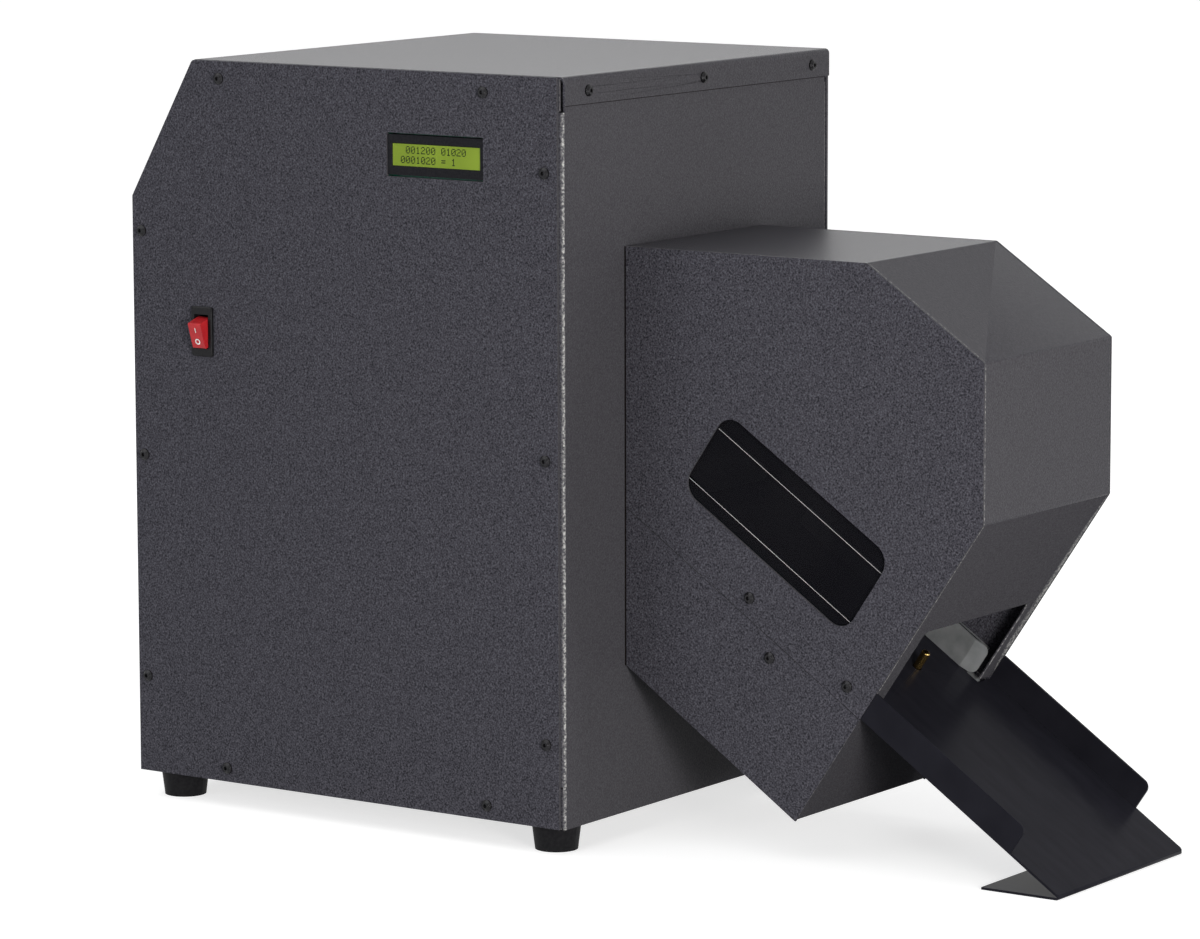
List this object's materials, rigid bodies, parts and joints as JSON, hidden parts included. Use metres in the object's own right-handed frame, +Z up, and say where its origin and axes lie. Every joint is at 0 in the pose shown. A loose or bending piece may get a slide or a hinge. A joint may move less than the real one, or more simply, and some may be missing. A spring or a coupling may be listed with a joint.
{
  "type": "hard drive degausser",
  "caption": "Bench-top pulse degausser: slant-cornered steel cabinet with an inclined drive slide through a coil, a windowed verification bay on its side and a bent exit chute.",
  "frame": {"origin": "on the bench, under the middle of the whole: half-way from the cabinet's left side to the chute's lip and half-way through the cabinet's depth", "axes": "+X from the cabinet towards the chute, +Y from the front panel to the rear, +Z up"},
  "size_m": [0.6278, 0.3059, 0.4646],
  "materials": {
    "charcoal_paint": "textured powder coat with a fine light speckle",
    "black_paint": "smooth satin black paint",
    "black_oxide": "black oxide",
    "zinc_steel": "zinc plate",
    "rubber": "moulded black rubber",
    "black_plastic": "fine matt moulding",
    "display_green": "lit yellow-green glass",
    "circuit_board": "green solder mask",
    "red_plastic": "polished red moulding",
    "smoked_pane": "polished smoked acrylic",
    "copper": "enamelled and bare copper",
    "brass": "turned brass",
    "capacitor_case": "grey coated case, filled",
    "porcelain": "glazed insulator",
    "core_steel": "varnished laminations",
    "aluminium": "plain extrusion"
  },
  "bodies": {
    "degausser": {"front_panel": "charcoal_paint", "right_side_panel": "charcoal_paint", "left_side_panel": "charcoal_paint", "top_cover": "charcoal_paint", "rear_panel": "charcoal_paint", "base_pan": "charcoal_paint", "bay_wrapper": "charcoal_paint", "bay_front_cover": "charcoal_paint", "bay_back_cover": "charcoal_paint", "bay_tray": "charcoal_paint", "exit_chute": "black_paint", "bay_slide": "black_paint", "front_panel_screws": "black_oxide", "top_cover_screws": "black_oxide", "rear_panel_screws": "black_oxide", "bay_screws": "black_oxide", "foot_screws": "zinc_steel", "bay_mount_screws": "zinc_steel", "display_posts": "zinc_steel", "drive_slide_upper": "zinc_steel", "drive_slide_lower": "zinc_steel", "coil_cradle": "zinc_steel", "capacitor_strap": "zinc_steel", "control_posts": "zinc_steel", "bay_mount_frame": "zinc_steel", "seam_straps": "zinc_steel", "side_rails": "zinc_steel", "chute_ledge": "zinc_steel", "camera_bracket": "zinc_steel", "coil_stop_solenoid": "zinc_steel", "exit_stop_solenoid": "zinc_steel", "rubber_feet": "rubber", "display_frame": "black_plastic", "switch_body": "black_plastic", "power_inlet": "black_plastic", "fan_frame": "black_plastic", "entry_frame": "black_plastic", "coil_former": "black_plastic", "thyristor": "black_plastic", "light_bar": "black_plastic", "camera_lens": "black_plastic", "display_glass": "display_green", "display_board": "circuit_board", "control_board": "circuit_board", "bay_window": "smoked_pane", "coil_winding": "copper", "bus_bars": "copper", "transformer_winding": "copper", "energy_capacitors": "capacitor_case", "capacitor_terminals": "porcelain", "transformer_core": "core_steel", "heat_sink": "aluminium", "camera_housing": "aluminium"},
    "rocker": {"power_rocker": "red_plastic"},
    "coil_stop": {"coil_stop_pin": "brass"},
    "exit_stop": {"exit_stop_pin": "brass"},
    "fan": {"fan_rotor": "black_plastic"}
  },
  "joints": [
    {"name": "rocker_pivot", "type": "hinge", "parent": "degausser", "child": "rocker", "pos_m": [-0.25748, -0.1455, 0.2974], "axis": [1, 0, 0], "range_deg": [-36, 0]},
    {"name": "coil_stop_slide", "type": "slide", "parent": "degausser", "child": "coil_stop", "axis": [0.5592, 0, 0.829], "range_m": [-0.014, 0], "stiffness_N_per_m": 60, "springref_m": 0.01},
    {"name": "exit_stop_slide", "type": "slide", "parent": "degausser", "child": "exit_stop", "axis": [0.5592, 0, 0.829], "range_m": [-0.014, 0], "stiffness_N_per_m": 60, "springref_m": 0.01},
    {"name": "fan_spin", "type": "hinge", "parent": "degausser", "child": "fan", "pos_m": [-0.07178, 0.1345, 0.136], "axis": [0, 1, 0], "continuous": true}
  ]
}
